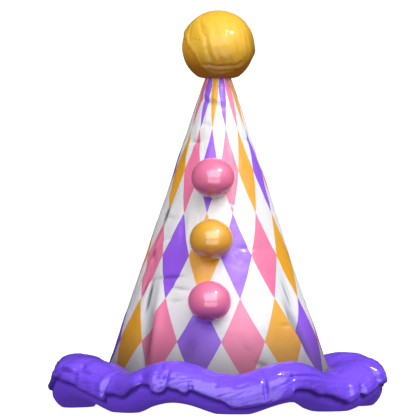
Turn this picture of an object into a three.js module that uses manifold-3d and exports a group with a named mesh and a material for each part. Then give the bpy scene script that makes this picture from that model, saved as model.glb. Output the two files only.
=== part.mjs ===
// A clown's cone hat: a cloth cone with a satin-covered ball on its tip, three shiny balls down
// its front, and a stuffed, wavy ruffle round its hem.
// Millimetres, +Z up. The origin is the middle of the hat on the surface that it stands on, the
// balls are at the front, -Y, and an azimuth is in degrees from the front round towards +X.

import * as THREE from "three";
import { mergeVertices } from "three/addons/utils/BufferGeometryUtils.js";
import Module from "manifold-3d";

const wasm = await Module();
wasm.setup();

// Cone
const HEM_RADIUS = 95.7; // outside, at the hem
const HEM_LIFT = 10; // the hem's height over the surface that the hat stands on
const CONE_HEIGHT = 282.8; // from the hem to the point that the sides run to
const CROWN_WALL = 2; // cloth and its stiffening, square to the side
const TIP_RADIUS = 5; // outside, where the cone is closed inside the ball
const CONE_SEGMENTS = 72;
const CONE_ROWS = 13;

// Ball on the tip
const BALL_RADIUS = 29.3;
const BALL_DROP = 5.4; // from the point that the cone's sides run to down to the ball's middle
const BALL_FOLDS = 11; // folds of the satin round the ball
const BALL_FOLD_DEPTH = 0.9;
const BALL_FOLD_TWIST = 34; // degrees that a fold turns from the ball's top to its bottom
const BALL_TUCK_DEPTH = 0.9; // the gathered underside's step under the satin's edge
const BALL_SEGMENTS = 44;
const BALL_ROWS = 16;

// Balls down the front
const BUTTON_WIDTH = 34.2;
const BUTTON_HEIGHT = 32;
const BUTTON_STANDOFF = 12; // from the cone's side to the ball's middle
const BUTTON_SPACING = 48.3;
const LOWEST_BUTTON_HEIGHT = 82.7;
const BUTTON_SEGMENTS = 22;
const BUTTON_ROWS = 13;

// Ruffle round the hem
const WAVES = 8;
const WAVE_RISE = 5.3; // up and down from the roll's middle height
const WAVE_REACH = 4.6; // out and in from the roll's middle radius
const WAVE_TURN = -12.3; // azimuth of a crest
const WAVE_LEAD = 6.7; // degrees by which a wave's outermost point leads its crest
const ROLL_STANDOFF = 24.2; // from the cone's side to the roll's middle
const ROLL_REACH = 19; // from the roll's middle outwards
const ROLL_TUCK = 27; // from the roll's middle inwards, before the cone presses it flat
const ROLL_HALF_HEIGHT = 16.1;
const FOOT_SINK = 2; // how far each trough is pressed flat by the surface under it
const ROLL_SEGMENTS_PER_WAVE = 14;

const SEAT_GAP = 0.3; // between a piece and the one that it sits on

const SATIN_GOLD = 0xffc24a;
const GLOSS_PINK = 0xff86b2;
const GLOSS_GOLD = 0xffc24a;
const COTTON_WHITE = 0xf4f2f2;
const SATIN_VIOLET = 0x7d52f0;

// The cone's main folds. height and azimuth are a fold's middle; along and across are its half
// length and half width; depth is how far the cloth dips, or rises where it is negative; and lean
// is the angle in degrees from straight up, positive towards +X. Height, along and across are
// shares of the cone's height, and depth is a share of its wall.
const CONE_FOLDS = [
  { height: 0.86, azimuth: -12, along: 0.06, across: 0.011, depth: 0.4, lean: 118 },
  { height: 0.74, azimuth: -38, along: 0.05, across: 0.013, depth: 0.45, lean: 84 },
  { height: 0.52, azimuth: -56, along: 0.07, across: 0.022, depth: 0.8, lean: 38 },
  { height: 0.28, azimuth: -47, along: 0.13, across: 0.027, depth: -0.9, lean: 3 },
  { height: 0.26, azimuth: -58, along: 0.13, across: 0.027, depth: 1, lean: 6 },
  { height: 0.25, azimuth: 56, along: 0.11, across: 0.027, depth: 1, lean: -9 },
  { height: 0.49, azimuth: 26, along: 0.07, across: 0.018, depth: 0.5, lean: -62 },
  { height: 0.33, azimuth: 95, along: 0.15, across: 0.028, depth: 1, lean: 5 },
  { height: 0.6, azimuth: 122, along: 0.09, across: 0.022, depth: 0.8, lean: -40 },
  { height: 0.36, azimuth: 158, along: 0.12, across: 0.028, depth: -0.8, lean: 8 },
  { height: 0.68, azimuth: -160, along: 0.07, across: 0.019, depth: 0.7, lean: 70 },
  { height: 0.3, azimuth: -142, along: 0.14, across: 0.028, depth: 1, lean: -6 },
  { height: 0.46, azimuth: -100, along: 0.11, across: 0.025, depth: 0.9, lean: 14 },
];
const FOLDS_END = 0.17; // share of the cone's height under which the ruffle holds it smooth

// The roll's section, from its top round the outside to its bottom, and back up its inner side.
// turn is the angle from straight out, in degrees; swell is a share of the full section; and
// follow is how far the point moves with the edge of the cloth that falls over the lower side.
const ROLL_SECTION = [
  { turn: 90, swell: 0.99, follow: 0 },
  { turn: 68, swell: 1.01, follow: 0.1 },
  { turn: 47, swell: 1.01, follow: 0.3 },
  { turn: 27, swell: 1, follow: 0.6 },
  { turn: 8, swell: 1, follow: 0.9 },
  { turn: -9, swell: 1.01, follow: 1 },
  { turn: -21, swell: 1, follow: 1 },
  { turn: -29, swell: 0.92, follow: 1 },
  { turn: -44, swell: 1, follow: 0.7 },
  { turn: -62, swell: 1.06, follow: 0.3 },
  { turn: -80, swell: 1.03, follow: 0 },
  { turn: -100, swell: 1, follow: 0 },
  { turn: -120, swell: 0.98, follow: 0 },
  { turn: -143, swell: 0.97, follow: 0 },
  { turn: -168, swell: 1, follow: 0 },
  { turn: 168, swell: 1, follow: 0 },
  { turn: 143, swell: 0.97, follow: 0 },
  { turn: 116, swell: 0.96, follow: 0 },
];

// The ruffle's main gathers: dips in the cloth over its upper and outer side. azimuth and half
// width are in degrees, depth is a share of the roll's half height, and lean is how many degrees
// the dip moves on from the roll's top to its outside.
const GATHERS = [
  { azimuth: -60, width: 3.2, depth: 0.13, lean: 3 },
  { azimuth: -39, width: 2.6, depth: 0.16, lean: 4 },
  { azimuth: -25, width: 4.2, depth: 0.17, lean: -2 },
  { azimuth: -15, width: 2.4, depth: 0.12, lean: 1 },
  { azimuth: -4, width: 3.4, depth: 0.09, lean: -3 },
  { azimuth: 9, width: 3, depth: 0.08, lean: 2 },
  { azimuth: 22, width: 2.8, depth: 0.13, lean: -2 },
  { azimuth: 35, width: 4, depth: 0.11, lean: 4 },
  { azimuth: 52, width: 3.2, depth: 0.09, lean: -3 },
  { azimuth: 70, width: 2.8, depth: 0.17, lean: -4 },
  { azimuth: 84, width: 3, depth: 0.15, lean: 3 },
  { azimuth: 99, width: 3.6, depth: 0.12, lean: -2 },
  { azimuth: 116, width: 2.8, depth: 0.14, lean: 3 },
  { azimuth: 131, width: 3.8, depth: 0.1, lean: -3 },
  { azimuth: 148, width: 3, depth: 0.15, lean: 2 },
  { azimuth: 164, width: 3.4, depth: 0.12, lean: -2 },
  { azimuth: 180, width: 2.8, depth: 0.13, lean: 4 },
  { azimuth: -165, width: 3.6, depth: 0.11, lean: -3 },
  { azimuth: -149, width: 2.8, depth: 0.15, lean: 2 },
  { azimuth: -133, width: 3.6, depth: 0.12, lean: -2 },
  { azimuth: -116, width: 3, depth: 0.14, lean: 3 },
  { azimuth: -97, width: 3.4, depth: 0.11, lean: -3 },
  { azimuth: -79, width: 2.8, depth: 0.15, lean: 2 },
];

const APEX_HEIGHT = HEM_LIFT + CONE_HEIGHT;
const CONE_SLOPE = HEM_RADIUS / CONE_HEIGHT; // radius lost for each millimetre of height
const SIDE_ANGLE = Math.atan(CONE_SLOPE);
const CONE_TOP = APEX_HEIGHT - TIP_RADIUS / CONE_SLOPE;

const radians = THREE.MathUtils.degToRad;
const degrees = THREE.MathUtils.radToDeg;
const bell = (distance, width) => Math.exp(-((distance / width) ** 2));
const coneRadius = (height) => (APEX_HEIGHT - height) * CONE_SLOPE;

// The shorter way round from one azimuth to another, in degrees.
function turnBetween(from, to) {
  return THREE.MathUtils.euclideanModulo(to - from + 180, 360) - 180;
}

// A profile of [radius, height] points spun round Z, with its first column of points at start.
function spin(profile, segments, start = 0) {
  const points = profile.map(([radius, height]) => new THREE.Vector2(radius, height));
  return new THREE.LatheGeometry(points, segments, radians(start)).rotateX(Math.PI / 2);
}

// Moves each vertex of a spun geometry to where shape(azimuth, radius, height) says.
function reshape(geometry, shape) {
  const position = geometry.getAttribute("position");
  for (let i = 0; i < position.count; i++) {
    const radius = Math.hypot(position.getX(i), position.getY(i));
    const azimuth = degrees(Math.atan2(position.getX(i), -position.getY(i)));
    const [newRadius, newHeight] = shape(azimuth, radius, position.getZ(i));
    const angle = radians(azimuth);
    position.setXYZ(i, newRadius * Math.sin(angle), -newRadius * Math.cos(angle), newHeight);
  }
  return geometry;
}

// A closed geometry as a solid that can be cut.
function solidOf(geometry) {
  const bare = new THREE.BufferGeometry();
  bare.setAttribute("position", geometry.getAttribute("position"));
  bare.setIndex(geometry.getIndex());
  const merged = mergeVertices(bare, 1e-3);
  return new wasm.Manifold(
    new wasm.Mesh({
      numProp: 3,
      vertProperties: merged.getAttribute("position").array,
      triVerts: new Uint32Array(merged.getIndex().array),
    }),
  );
}

function geometryOf(solid) {
  const { vertProperties, triVerts } = solid.getMesh();
  const geometry = new THREE.BufferGeometry();
  geometry.setAttribute("position", new THREE.BufferAttribute(vertProperties, 3));
  geometry.setIndex(new THREE.BufferAttribute(triVerts, 1));
  geometry.computeVertexNormals();
  return geometry;
}

// How far the folds push the cone's side in at a point, square to the side.
function coneFoldDepth(azimuth, height) {
  const share = (height - HEM_LIFT) / CONE_HEIGHT;
  let depth = 0;
  for (const fold of CONE_FOLDS) {
    const up = (share - fold.height) * CONE_HEIGHT;
    const round = radians(turnBetween(fold.azimuth, azimuth)) * coneRadius(height);
    const lean = radians(fold.lean);
    const along = up * Math.cos(lean) + round * Math.sin(lean);
    const across = round * Math.cos(lean) - up * Math.sin(lean);
    depth +=
      fold.depth * bell(along, fold.along * CONE_HEIGHT) * bell(across, fold.across * CONE_HEIGHT);
  }
  const held = THREE.MathUtils.smoothstep(share, FOLDS_END, 2 * FOLDS_END);
  const pocketed = THREE.MathUtils.smoothstep(CONE_TOP - height, 0, 2 * BALL_RADIUS);
  return depth * CROWN_WALL * held * pocketed;
}

// The cone's side moved out by offset, square to itself, as rows of [radius, height] from hem to tip.
function coneSide(offset, bottom, top) {
  const rows = [];
  for (let i = 0; i <= CONE_ROWS; i++) {
    const height = THREE.MathUtils.lerp(bottom, top, i / CONE_ROWS);
    rows.push([coneRadius(height) + offset / Math.cos(SIDE_ANGLE), height]);
  }
  return rows;
}

function foldCone(geometry) {
  return reshape(geometry, (azimuth, radius, height) => {
    const depth = coneFoldDepth(azimuth, height);
    const onSide = radius > TIP_RADIUS / 2;
    return onSide ? [radius - depth * Math.cos(SIDE_ANGLE), height] : [radius, height];
  });
}

// The cloth cone, hollow and open at the hem, with its tip closed.
function makeCone() {
  const inside = coneSide(-CROWN_WALL, HEM_LIFT, CONE_TOP - CROWN_WALL).reverse();
  const outside = coneSide(0, HEM_LIFT, CONE_TOP);
  const profile = [[0, CONE_TOP - CROWN_WALL], ...inside, ...outside, [0, CONE_TOP]];
  return foldCone(spin(profile, CONE_SEGMENTS));
}

// The room that the cone takes up, filled and a clearance larger: what sits on the cone is cut by it.
function coneRoom() {
  const side = coneSide(SEAT_GAP, HEM_LIFT, CONE_TOP);
  const profile = [[0, HEM_LIFT], ...side, [0, CONE_TOP + SEAT_GAP]];
  return solidOf(foldCone(spin(profile, CONE_SEGMENTS)));
}

// How far a point of the top ball lies in from the full ball: the satin's folds run down the ball
// on a slant, and its lower edge is tucked under, higher on one side than on the other.
function ballDip(azimuth, latitude) {
  const slant = azimuth + (BALL_FOLD_TWIST * latitude) / 180;
  const fold = 0.5 - 0.5 * Math.cos(radians(slant * BALL_FOLDS));
  const middle = Math.cos(radians(latitude));
  const edge = -40 + 14 * Math.cos(radians(azimuth + 75));
  const under = THREE.MathUtils.smoothstep(edge - latitude, 0, 9);
  return BALL_FOLD_DEPTH * fold * middle * (1 - under) + BALL_TUCK_DEPTH * under;
}

function makeTopBall(room) {
  const centre = APEX_HEIGHT - BALL_DROP;
  const profile = [];
  for (let i = 0; i <= BALL_ROWS; i++) {
    const latitude = radians(180 * (i / BALL_ROWS) - 90);
    profile.push([BALL_RADIUS * Math.cos(latitude), BALL_RADIUS * Math.sin(latitude)]);
  }
  const ball = reshape(spin(profile, BALL_SEGMENTS), (azimuth, radius, height) => {
    const latitude = degrees(Math.atan2(height, radius));
    const share = 1 - ballDip(azimuth, latitude) / BALL_RADIUS;
    return [radius * share, height * share];
  });
  return geometryOf(solidOf(ball.translate(0, 0, centre)).subtract(room));
}

// A ball on the front of the cone, at a height, with its back dished to the cone's side.
function makeButton(height, room) {
  const ball = new THREE.SphereGeometry(BUTTON_WIDTH / 2, BUTTON_SEGMENTS, BUTTON_ROWS);
  ball.rotateX(Math.PI / 2).scale(1, 1, BUTTON_HEIGHT / BUTTON_WIDTH);
  const out = coneRadius(height) + BUTTON_STANDOFF * Math.cos(SIDE_ANGLE);
  const up = height + BUTTON_STANDOFF * Math.sin(SIDE_ANGLE);
  return geometryOf(solidOf(ball.translate(0, -out, up)).subtract(room));
}

// How far the edge of the cloth that falls over the roll's lower side sits above its usual place.
function edgeSwing(azimuth) {
  return 7 * Math.sin(radians(azimuth * 5 + 40)) + 5 * Math.sin(radians(azimuth * 13));
}

function gatherDip(azimuth, turn) {
  let dip = 0;
  for (const gather of GATHERS) {
    const middle = gather.azimuth + gather.lean * (1 - turn / 90);
    dip += gather.depth * bell(turnBetween(middle, azimuth), gather.width);
  }
  const above = THREE.MathUtils.smoothstep(turn, -40, -10);
  const outside = 1 - THREE.MathUtils.smoothstep(turn, 70, 130);
  return dip * above * outside;
}

// The stuffed roll: one row of the section's table after another, each carried round the hem in
// waves, pressed flat where the roll meets the cone and where it stands on a surface.
function makeRuffle() {
  const middleHeight = ROLL_HALF_HEIGHT + WAVE_RISE - FOOT_SINK;
  const middleRadius = coneRadius(middleHeight) + ROLL_STANDOFF;
  const rowNumbers = [...ROLL_SECTION.keys()].reverse();
  const profile = [...rowNumbers, rowNumbers[0]].map((rowNumber) => [middleRadius, rowNumber]);
  const ring = spin(profile, WAVES * ROLL_SEGMENTS_PER_WAVE, WAVE_TURN);
  return reshape(ring, (azimuth, radius, rowNumber) => {
    const row = ROLL_SECTION[Math.round(rowNumber)];
    const turn = row.turn + row.follow * edgeSwing(azimuth);
    const swell = row.swell - gatherDip(azimuth, turn);
    const angle = radians(turn);
    const wave = radians(WAVES * (azimuth - WAVE_TURN));
    const lead = radians(WAVES * WAVE_LEAD);
    const half = Math.cos(angle) > 0 ? ROLL_REACH : ROLL_TUCK;
    const out = radius + WAVE_REACH * Math.cos(wave + lead) + half * swell * Math.cos(angle);
    const up = middleHeight + WAVE_RISE * Math.cos(wave) + ROLL_HALF_HEIGHT * swell * Math.sin(angle);
    const height = Math.max(up, 0);
    return [Math.max(out, coneRadius(height) + SEAT_GAP / Math.cos(SIDE_ANGLE)), height];
  });
}

function piece(name, geometry, color, roughness) {
  const material = new THREE.MeshStandardMaterial({ color, roughness, metalness: 0 });
  const mesh = new THREE.Mesh(geometry, material);
  mesh.name = name;
  return mesh;
}

const FRONT_BALLS = [
  { name: "pink_ball_lower", color: GLOSS_PINK },
  { name: "gold_ball_middle", color: GLOSS_GOLD },
  { name: "pink_ball_upper", color: GLOSS_PINK },
];

const room = coneRoom();
const hat = new THREE.Group();
hat.add(piece("cone_crown", makeCone(), COTTON_WHITE, 0.45));
hat.add(piece("ruffle_roll", makeRuffle(), SATIN_VIOLET, 0.35));
hat.add(piece("top_ball", makeTopBall(room), SATIN_GOLD, 0.4));
FRONT_BALLS.forEach(({ name, color }, i) => {
  const height = LOWEST_BUTTON_HEIGHT + i * BUTTON_SPACING;
  hat.add(piece(name, makeButton(height, room), color, 0.12));
});

export default hat;
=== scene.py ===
# %% [markdown]
# A clown's cone hat
# The hat is a cone of printed cloth with a stuffed satin ruffle round its hem, a satin ball on its
# tip and three glossy balls down its front. The solids of these six pieces come with the frame, at
# their real size and in their place, but with large flat facets. Each step below makes one piece
# or one finish: a fine surface worked out with numpy, and a material made of shader nodes.
# Lengths are metres, +Z is up, the front is towards -Y, and the origin is the middle of the hat on
# the surface that it stands on. An azimuth is in degrees from the front round towards +X.

import bmesh
import bpy
import numpy as np
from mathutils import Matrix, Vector


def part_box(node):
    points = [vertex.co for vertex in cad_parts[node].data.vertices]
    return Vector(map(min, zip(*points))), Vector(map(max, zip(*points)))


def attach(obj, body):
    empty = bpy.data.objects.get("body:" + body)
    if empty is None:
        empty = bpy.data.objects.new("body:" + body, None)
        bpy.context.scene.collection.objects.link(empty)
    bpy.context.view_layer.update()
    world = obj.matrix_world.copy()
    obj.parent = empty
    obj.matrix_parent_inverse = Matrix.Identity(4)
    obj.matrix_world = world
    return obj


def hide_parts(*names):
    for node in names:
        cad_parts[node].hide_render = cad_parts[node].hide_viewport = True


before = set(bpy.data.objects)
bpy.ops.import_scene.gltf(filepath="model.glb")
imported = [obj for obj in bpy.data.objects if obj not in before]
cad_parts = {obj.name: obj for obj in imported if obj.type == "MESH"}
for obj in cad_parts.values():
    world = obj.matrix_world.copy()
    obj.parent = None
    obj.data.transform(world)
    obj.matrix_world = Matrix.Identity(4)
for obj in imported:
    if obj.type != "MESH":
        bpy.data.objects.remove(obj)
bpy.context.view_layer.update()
print("CAD nodes:", ", ".join(sorted(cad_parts)))

# %% [markdown]
# Sizes
# The frame gives the box of each solid, so the cone's hem and top are read from there. A
# cone is ruled by one number, its slope: how much radius each length of height takes away.
# Everything that sits on the cone is worked out from that.

# %% Sizes of the cone
cone_low, cone_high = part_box("cone_crown")
HEM_HEIGHT = cone_low.z
HEM_RADIUS = cone_high.x
CONE_TOP = cone_high.z
TIP_RADIUS = 0.005
WALL = 0.002
SEAT_GAP = 0.0003
CONE_SLOPE = (HEM_RADIUS - TIP_RADIUS) / (CONE_TOP - HEM_HEIGHT)
CONE_HEIGHT = HEM_RADIUS / CONE_SLOPE
APEX_HEIGHT = HEM_HEIGHT + CONE_HEIGHT
SIDE_ANGLE = np.arctan(CONE_SLOPE)
print("Cone: hem radius", round(HEM_RADIUS, 4), "height to its point", round(CONE_HEIGHT, 4))

# %% [markdown]
# Soft shapes as sums
# A soft shape is easy to steer when it is a sum of simple parts: humps where something bulges or
# dips, S curves where one part gives way to another, and smooth noise for what has no plan.


# %% Small helpers for shapes
def bell(distance, width):
    """A smooth hump: 1 in the middle, about a third at one width away, and soon 0."""
    return np.exp(-((distance / width) ** 2))


def smoothstep(value, low, high):
    """0 below low, 1 above high, and an S curve in between."""
    t = np.clip((value - low) / (high - low), 0, 1)
    return t * t * (3 - 2 * t)


def turn_between(start, end):
    """The shorter way round from one azimuth to another, in degrees."""
    return (end - start + 180) % 360 - 180


def cone_radius(height):
    """The cone's outside radius before its folds: the height left to its point times the slope."""
    return (APEX_HEIGHT - height) * CONE_SLOPE


def round_table(azimuth, table):
    """A value given at some azimuths, joined by S curves, that closes after a full turn."""
    rows = sorted(table)
    known = np.array([row[0] for row in rows] + [rows[0][0] + 360], float)
    values = np.array([row[1] for row in rows] + [rows[0][1]], float)
    angle = (azimuth - known[0]) % 360 + known[0]
    place = np.clip(np.searchsorted(known, angle, side="right") - 1, 0, len(rows) - 1)
    share = smoothstep((angle - known[place]) / (known[place + 1] - known[place]), 0, 1)
    return values[place] * (1 - share) + values[place + 1] * share


def soft_noise(u, v, columns, rows, seed):
    """Smooth hills and hollows from -1 to 1: random heights on a lattice of columns by rows,
    joined by S curves. The lattice closes where u passes 1, and v runs from 0 to 1."""
    heights = np.random.default_rng(seed).uniform(-1, 1, (rows + 2, columns))
    x, y = (u % 1) * columns, np.clip(v, 0, 1) * rows
    left, below = np.floor(x).astype(int), np.floor(y).astype(int)
    across, up = smoothstep(x - left, 0, 1), smoothstep(y - below, 0, 1)
    left, right = left % columns, (left + 1) % columns
    low = heights[below, left] * (1 - across) + heights[below, right] * across
    high = heights[below + 1, left] * (1 - across) + heights[below + 1, right] * across
    return low * (1 - up) + high * up


def fold_ways(up, round_way, lean):
    """The way along a fold and the way across it, from the ways up and round from its middle:
    the two are turned by the fold's lean, in degrees."""
    angle = np.radians(lean)
    along = up * np.cos(angle) + round_way * np.sin(angle)
    return along, round_way * np.cos(angle) - up * np.sin(angle)


def records(fields, table):
    """Each row of a table as a record: the fields' names with the row's values."""
    return [dict(zip(fields, row)) for row in table]


# %% [markdown]
# From a grid of points to a closed mesh
# Every piece of this hat goes round something: the cone and the balls go round an axis, and the
# ruffle is a ring. So each is a grid of points whose columns join up all the way round. On the
# ruffle the rows join up as well. On the others the first and last rows shrink to one point, and
# merging these points closes the pole. Seen from outside, rows go up and columns go to the right,
# and then every face points outwards.


# %% The mesh maker
def place_round(azimuth, radius, height):
    """Points at an azimuth, a distance from the hat's axis and a height, as x, y and z."""
    angle = np.radians(azimuth)
    return np.stack([radius * np.sin(angle), -radius * np.cos(angle), height], axis=-1)


def ring_mesh(name, points, maps, masks, wrap_rows=False):
    """An object from a grid of points, rows by columns. maps gives the u and v of each UV map on a
    grid one column wider, and one row taller where the rows wrap, so that a map has its own edge
    on both sides of a seam. masks gives a value from 0 to 1 at each point, which materials read."""
    rows, columns = points.shape[:2]
    row, column = np.meshgrid(
        np.arange(rows if wrap_rows else rows - 1), np.arange(columns), indexing="ij"
    )
    row_corners = np.stack([row, row, row + 1, row + 1], axis=-1).reshape(-1, 4)
    column_corners = np.stack([column, column + 1, column + 1, column], axis=-1).reshape(-1, 4)
    faces = (row_corners % rows) * columns + column_corners % columns
    mesh = bpy.data.meshes.new(name)
    mesh.from_pydata(points.reshape(-1, 3).tolist(), [], faces.tolist())
    for map_name, (u, v) in maps.items():
        flat = np.stack([u[row_corners, column_corners], v[row_corners, column_corners]], axis=-1)
        layer = mesh.uv_layers.new(name=map_name)
        layer.data.foreach_set("uv", flat.astype(np.float32).ravel())
    for mask_name, mask in masks.items():
        layer = mesh.attributes.new(mask_name, "FLOAT", "POINT")
        layer.data.foreach_set("value", mask.astype(np.float32).ravel())
    if not wrap_rows:
        shell = bmesh.new()
        shell.from_mesh(mesh)
        bmesh.ops.remove_doubles(shell, verts=shell.verts, dist=1e-7)
        shell.to_mesh(mesh)
        shell.free()
    mesh.shade_smooth()
    piece = bpy.data.objects.new(name, mesh)
    bpy.context.scene.collection.objects.link(piece)
    print(name, "has", len(mesh.vertices), "points and", len(mesh.polygons), "faces")
    return piece


def dress(piece, node, slot, *materials):
    """Gives a piece its materials, hides the solid that it stands for, and says what it moves with.
    """
    for material in materials:
        piece.data.materials.append(material)
    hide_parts(node)
    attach(piece, "root")


# %% [markdown]
# The cone's cloth
# The cone is one wall of stiffened cloth, 2 mm thick. It could be a cone with a Solidify modifier,
# but the folds have to be soft dips that lean in their own directions, so the surface is worked
# out as a formula instead. Each fold is a long bell: it has a middle on the cone, a half length
# and a half width, and it leans. Shares are of the cone's height, and depths are metres.

# %% Folds and creases of the cone
CONE_COLUMNS = 360
CONE_ROWS = 206
INNER_ROWS = 34
HEM_ROWS = 5

FOLD_FIELDS = ("height", "azimuth", "along", "across", "depth", "lean")
MAIN_FOLDS = records(FOLD_FIELDS, [
    (0.807, 0, 0.05, 0.011, 0.0008, 118),
    (0.72, -35, 0.04, 0.013, 0.0009, 88),
    (0.52, -59, 0.06, 0.018, 0.0014, 20),
    (0.22, -34, 0.12, 0.025, -0.0018, -12),
    (0.22, -43, 0.12, 0.024, 0.002, -14),
    (0.23, 57, 0.1, 0.025, 0.0018, -4),
    (0.5, -26, 0.06, 0.018, 0.0009, -6),
    (0.33, 95, 0.15, 0.028, 0.002, 5),
    (0.6, 122, 0.09, 0.022, 0.0016, -40),
    (0.36, 158, 0.12, 0.028, -0.0016, 8),
    (0.68, -160, 0.07, 0.019, 0.0014, 70),
    (0.3, -142, 0.14, 0.028, 0.002, -6),
    (0.46, -100, 0.11, 0.025, 0.0018, 14),
])
CREASES = records(FOLD_FIELDS, [
    (0.83, -30, 0.026, 0.006, 0.0006, 92),
    (0.815, 6, 0.03, 0.005, 0.0006, 112),
    (0.788, 20, 0.03, 0.005, 0.0008, 106),
    (0.715, -36, 0.022, 0.006, 0.001, 92),
    (0.76, -14, 0.03, 0.005, 0.0006, 100),
    (0.72, 62, 0.014, 0.005, 0.0008, 100),
    (0.508, -60, 0.022, 0.008, 0.0018, 8),
    (0.5, -46, 0.03, 0.006, 0.0007, 96),
    (0.4, -57, 0.028, 0.007, 0.0008, 34),
    (0.395, -57, 0.028, 0.007, 0.0008, -36),
    (0.44, -40, 0.04, 0.005, 0.0006, 88),
    (0.415, 30, 0.035, 0.0045, 0.0006, 93),
    (0.53, 27, 0.045, 0.005, 0.0006, 113),
    (0.5, 31, 0.035, 0.005, 0.0006, 118),
    (0.28, -49, 0.045, 0.007, 0.0016, -4),
    (0.3, -56, 0.035, 0.007, 0.0012, 6),
    (0.335, -33, 0.06, 0.006, 0.0012, 84),
    (0.305, -22, 0.045, 0.006, 0.001, 97),
    (0.27, -24, 0.035, 0.007, 0.0008, 84),
    (0.14, -12, 0.05, 0.03, 0.001, 10),
    (0.095, 29, 0.028, 0.011, 0.0014, 112),
    (0.14, 21, 0.03, 0.009, 0.0007, 130),
    (0.2, 48, 0.022, 0.005, 0.0008, 96),
    (0.29, 58, 0.05, 0.006, 0.0012, -12),
])
BENDS = records(FOLD_FIELDS, [
    (0.16, -36.5, 0.1, 0.019, -0.0021, -6),
    (0.17, 57.5, 0.07, 0.024, 0.003, -21),
    (0.41, -60, 0.1, 0.014, -0.0011, 12),
    (0.5, -27, 0.06, 0.014, -0.0008, -6),
    (0.29, 60, 0.06, 0.012, 0.0009, -12),
    (0.83, -8, 0.05, 0.009, 0.0006, 108),
    (0.28, 150, 0.1, 0.02, 0.0018, 10),
    (0.22, -112, 0.1, 0.02, -0.0018, -8),
])
FOLDS_START = 0.05
FOLDS_FULL = 0.12
BALL_POCKET = 0.035
CRINKLE_DEPTH = 0.00042
FINE_CRINKLE_DEPTH = 0.0002
BEND_PEAK = 2.33


def fold_depth(folds, azimuth, height, bent=False):
    """The sum of the folds' bells at a point, from the ways up and round to it from each fold's
    middle. A bent fold is a step: the bell times the way across it, so a ridge on one side and a
    valley on the other, as high and as deep as the fold's depth."""
    depth = np.zeros(np.broadcast(azimuth, height).shape)
    for fold in folds:
        up = height - (HEM_HEIGHT + fold["height"] * CONE_HEIGHT)
        round_way = np.radians(turn_between(fold["azimuth"], azimuth)) * cone_radius(height)
        along, across = fold_ways(up, round_way, fold["lean"])
        width = fold["across"] * CONE_HEIGHT
        shape = bell(along, fold["along"] * CONE_HEIGHT) * bell(across, width)
        depth += fold["depth"] * shape * (BEND_PEAK * across / width if bent else 1)
    return depth


def free_share(height):
    """How far the cloth may fold: not where the ruffle is sewn on, nor inside the ball."""
    share = (height - HEM_HEIGHT) / CONE_HEIGHT
    held_low = smoothstep(share, FOLDS_START, FOLDS_FULL)
    return held_low * smoothstep(CONE_TOP - height, 0, BALL_POCKET)


def crinkle_depth(azimuth, height):
    """Small crinkles all over: two sizes of soft noise, slanted by moving u on with the height."""
    share = (height - HEM_HEIGHT) / CONE_HEIGHT
    turn = azimuth / 360
    wide = soft_noise(turn + 0.1 * share, share, 30, 15, seed=3)
    narrow = soft_noise(turn - 0.24 * share, share, 64, 46, seed=8)
    sharp = 1 - np.abs(soft_noise(turn + 0.3 * share, share, 40, 30, seed=21)) * 5
    line = np.clip(sharp, 0, 1) * smoothstep(soft_noise(turn, share, 9, 7, seed=5), -0.1, 0.5)
    return CRINKLE_DEPTH * wide + FINE_CRINKLE_DEPTH * (narrow + 1.2 * line)


def cone_profile():
    """The wall's outline from the inner pole down the inside, round the hem and up the outside to
    the tip: radius, height, and skin, which is 0 on the inside and 1 on the outside."""
    half = WALL / 2
    low = HEM_HEIGHT + half
    slant = 1 / np.cos(SIDE_ANGLE)
    inner_height = np.linspace(CONE_TOP - WALL, low, INNER_ROWS)
    outer_height = np.linspace(low, CONE_TOP, CONE_ROWS)
    round_angle = np.linspace(0, np.pi, HEM_ROWS + 2)[1:-1]
    middle = cone_radius(low) - half * slant
    radius = np.concatenate([
        [0], cone_radius(inner_height) - WALL * slant, middle - half * slant * np.cos(round_angle),
        cone_radius(outer_height), [0],
    ])
    height = np.concatenate([
        [CONE_TOP - WALL], inner_height, low - half * np.sin(round_angle), outer_height, [CONE_TOP],
    ])
    skin = np.concatenate([
        np.zeros(1 + INNER_ROWS), np.linspace(0, 1, HEM_ROWS + 2)[1:-1], np.ones(CONE_ROWS + 1),
    ])
    return radius, height, skin


def cone_side(azimuth, height):
    """The outside's radius with its main folds: what sits on the cone keeps clear of this."""
    depth = fold_depth(MAIN_FOLDS, azimuth, height) * free_share(height)
    return cone_radius(height) - depth * np.cos(SIDE_ANGLE)


# %% [markdown]
# Two maps for one cloth
# A printed cone needs two maps. The print follows the finished cone: its map counts diamonds,
# columns round the cone and rows up it. The weave follows the cloth as it was cut: unrolled flat,
# a cone is a slice of a disc, and on that slice the threads run straight. Its map is in metres.

# %% Make the cone
COLUMN_WIDTH = 360 / 14
COLUMN_TURN = -6.3
PRINT_SWING = 0.8
ROW_HEIGHT = 0.0672
ROW_START = 0.0209
# Painted shade from the ruffle is full below SEAM_DARK and gone above SEAM_CLEAR. The cloth shines
# less in the same band.
SEAM_DARK = 0.028
SEAM_CLEAR = 0.08
BINDING_TOP = 0.0135


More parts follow.
